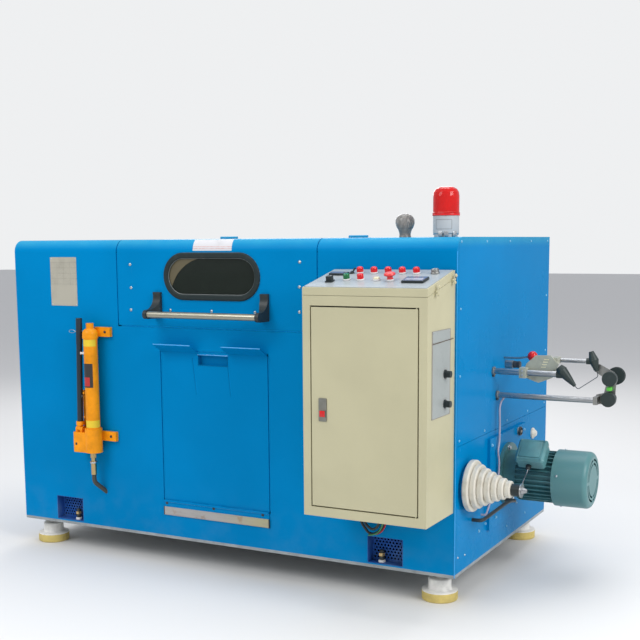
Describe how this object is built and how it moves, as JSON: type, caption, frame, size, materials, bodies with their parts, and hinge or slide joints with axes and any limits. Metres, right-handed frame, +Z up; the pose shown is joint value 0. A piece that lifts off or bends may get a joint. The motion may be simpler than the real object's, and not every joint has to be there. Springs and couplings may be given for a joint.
{
  "type": "wire bunching machine",
  "caption": "Closed steel machine for twisting wire, with lift-up hood, loading door, hand pump, control cabinet, flange motor, cone pulley and wire guides on adjustable feet.",
  "frame": {"origin": "on the floor under the middle of the machine's bounding box", "axes": "+X along the front towards the motor end, +Y from the front to the back, +Z up"},
  "size_m": [2.549, 1.411, 1.541],
  "materials": {
    "housing_blue": "gloss",
    "foot_yellow": "matte",
    "foot_white": "satin",
    "bare_steel": "satin",
    "bright_steel": "satin",
    "fitting_brass": "satin",
    "screen_steel": "gloss",
    "plate_metal": "satin",
    "pump_orange": "gloss",
    "black_rubber": "matte",
    "black_plastic": "satin",
    "black_metal": "satin",
    "cabinet_cream": "satin",
    "panel_grey": "satin",
    "beacon_grey": "satin",
    "beacon_red": "gloss",
    "red_plastic": "gloss",
    "motor_green": "satin",
    "motor_green_sheet": "satin",
    "cast_grey": "satin",
    "plug_cream": "gloss",
    "grey_cable": "satin",
    "window_glass": "gloss",
    "cone_white": "satin",
    "dark_wheel": "satin"
  },
  "bodies": {
    "housing": {"base_plate": "housing_blue", "foot_pads": "foot_yellow", "foot_caps": "foot_white", "front_walls": "housing_blue", "doorway_rails": "housing_blue", "top_end_covers": "housing_blue", "top_rear_cover": "housing_blue", "left_end_wall": "housing_blue", "right_upper_panel": "housing_blue", "right_lower_panel": "housing_blue", "back_wall": "housing_blue", "door_hinge": "housing_blue", "sill_strip": "bare_steel", "vent_trays": "housing_blue", "vent_screens": "screen_steel", "data_plate": "plate_metal", "pump_body": "pump_orange", "hose_fitting": "fitting_brass", "pump_hose": "black_rubber", "cabinet_body": "cabinet_cream", "side_plate": "panel_grey", "side_knobs": "black_plastic", "beacon_base": "beacon_grey", "beacon_dome": "beacon_red", "filler_cap": "black_plastic", "motor_mount_plate": "housing_blue", "motor_body": "motor_green", "fan_cover": "motor_green_sheet", "terminal_box": "motor_green", "guide_rods": "bright_steel", "rod_bracket": "cast_grey", "wire_guides": "black_plastic", "guide_wire": "bright_steel", "pulley_bracket": "bare_steel", "red_knob": "red_plastic", "spindle_nose": "bright_steel", "wall_plugs": "plug_cream", "sensor_cable": "grey_cable", "motor_cable": "black_rubber", "cabinet_cable": "black_rubber"},
    "hood": {"hood": "housing_blue", "window_gasket": "black_rubber", "window_glass": "window_glass", "handle_brackets": "black_plastic", "handle_bar": "bright_steel"},
    "loading_door": {"loading_door": "housing_blue"},
    "cabinet_door": {"cabinet_door": "cabinet_cream", "cabinet_latch": "bright_steel"},
    "cabinet_lid": {"cabinet_lid": "cabinet_cream", "operator_panel": "panel_grey", "signal_lamps": "red_plastic", "push_buttons": "black_plastic", "panel_meters": "black_plastic"},
    "pump_lever": {"pump_lever": "black_metal", "lever_socket": "pump_orange"},
    "cone": {"cone_pulley": "cone_white", "cone_shaft": "bright_steel", "shaft_collar": "black_metal"},
    "upper_pulley": {"upper_pulley": "dark_wheel"},
    "lower_pulley": {"lower_pulley": "dark_wheel"}
  },
  "joints": [
    {"name": "hood_lift", "type": "hinge", "parent": "housing", "child": "hood", "pos_m": [0, 0.2105, 1.367], "axis": [-1, 0, 0], "range_deg": [0, 70]},
    {"name": "loading_door_fold", "type": "hinge", "parent": "housing", "child": "loading_door", "pos_m": [0, -0.447, 0.2715], "axis": [1, 0, 0], "range_deg": [0, 90]},
    {"name": "cabinet_door_swing", "type": "hinge", "parent": "housing", "child": "cabinet_door", "pos_m": [0.75, -0.695, 0.8], "axis": [0, 0, 1], "range_deg": [0, 110]},
    {"name": "cabinet_lid_lift", "type": "hinge", "parent": "housing", "child": "cabinet_lid", "pos_m": [0.7965, -0.7, 1.15825], "axis": [0, 0.9757, 0.2193], "range_deg": [0, 80]},
    {"name": "pump_lever_pull", "type": "hinge", "parent": "housing", "child": "pump_lever", "pos_m": [-0.8985, -0.492, 0.556], "axis": [1, 0, 0], "range_deg": [0, 60]},
    {"name": "cone_spin", "type": "hinge", "parent": "housing", "child": "cone", "pos_m": [0.798, -0.322, 0.44], "axis": [1, 0, 0], "continuous": true},
    {"name": "upper_pulley_spin", "type": "hinge", "parent": "housing", "child": "upper_pulley", "pos_m": [1.239, 0.046, 0.824], "axis": [0, 1, 0], "continuous": true},
    {"name": "lower_pulley_spin", "type": "hinge", "parent": "housing", "child": "lower_pulley", "pos_m": [1.236, 0.046, 0.745], "axis": [0, 1, 0], "continuous": true}
  ]
}
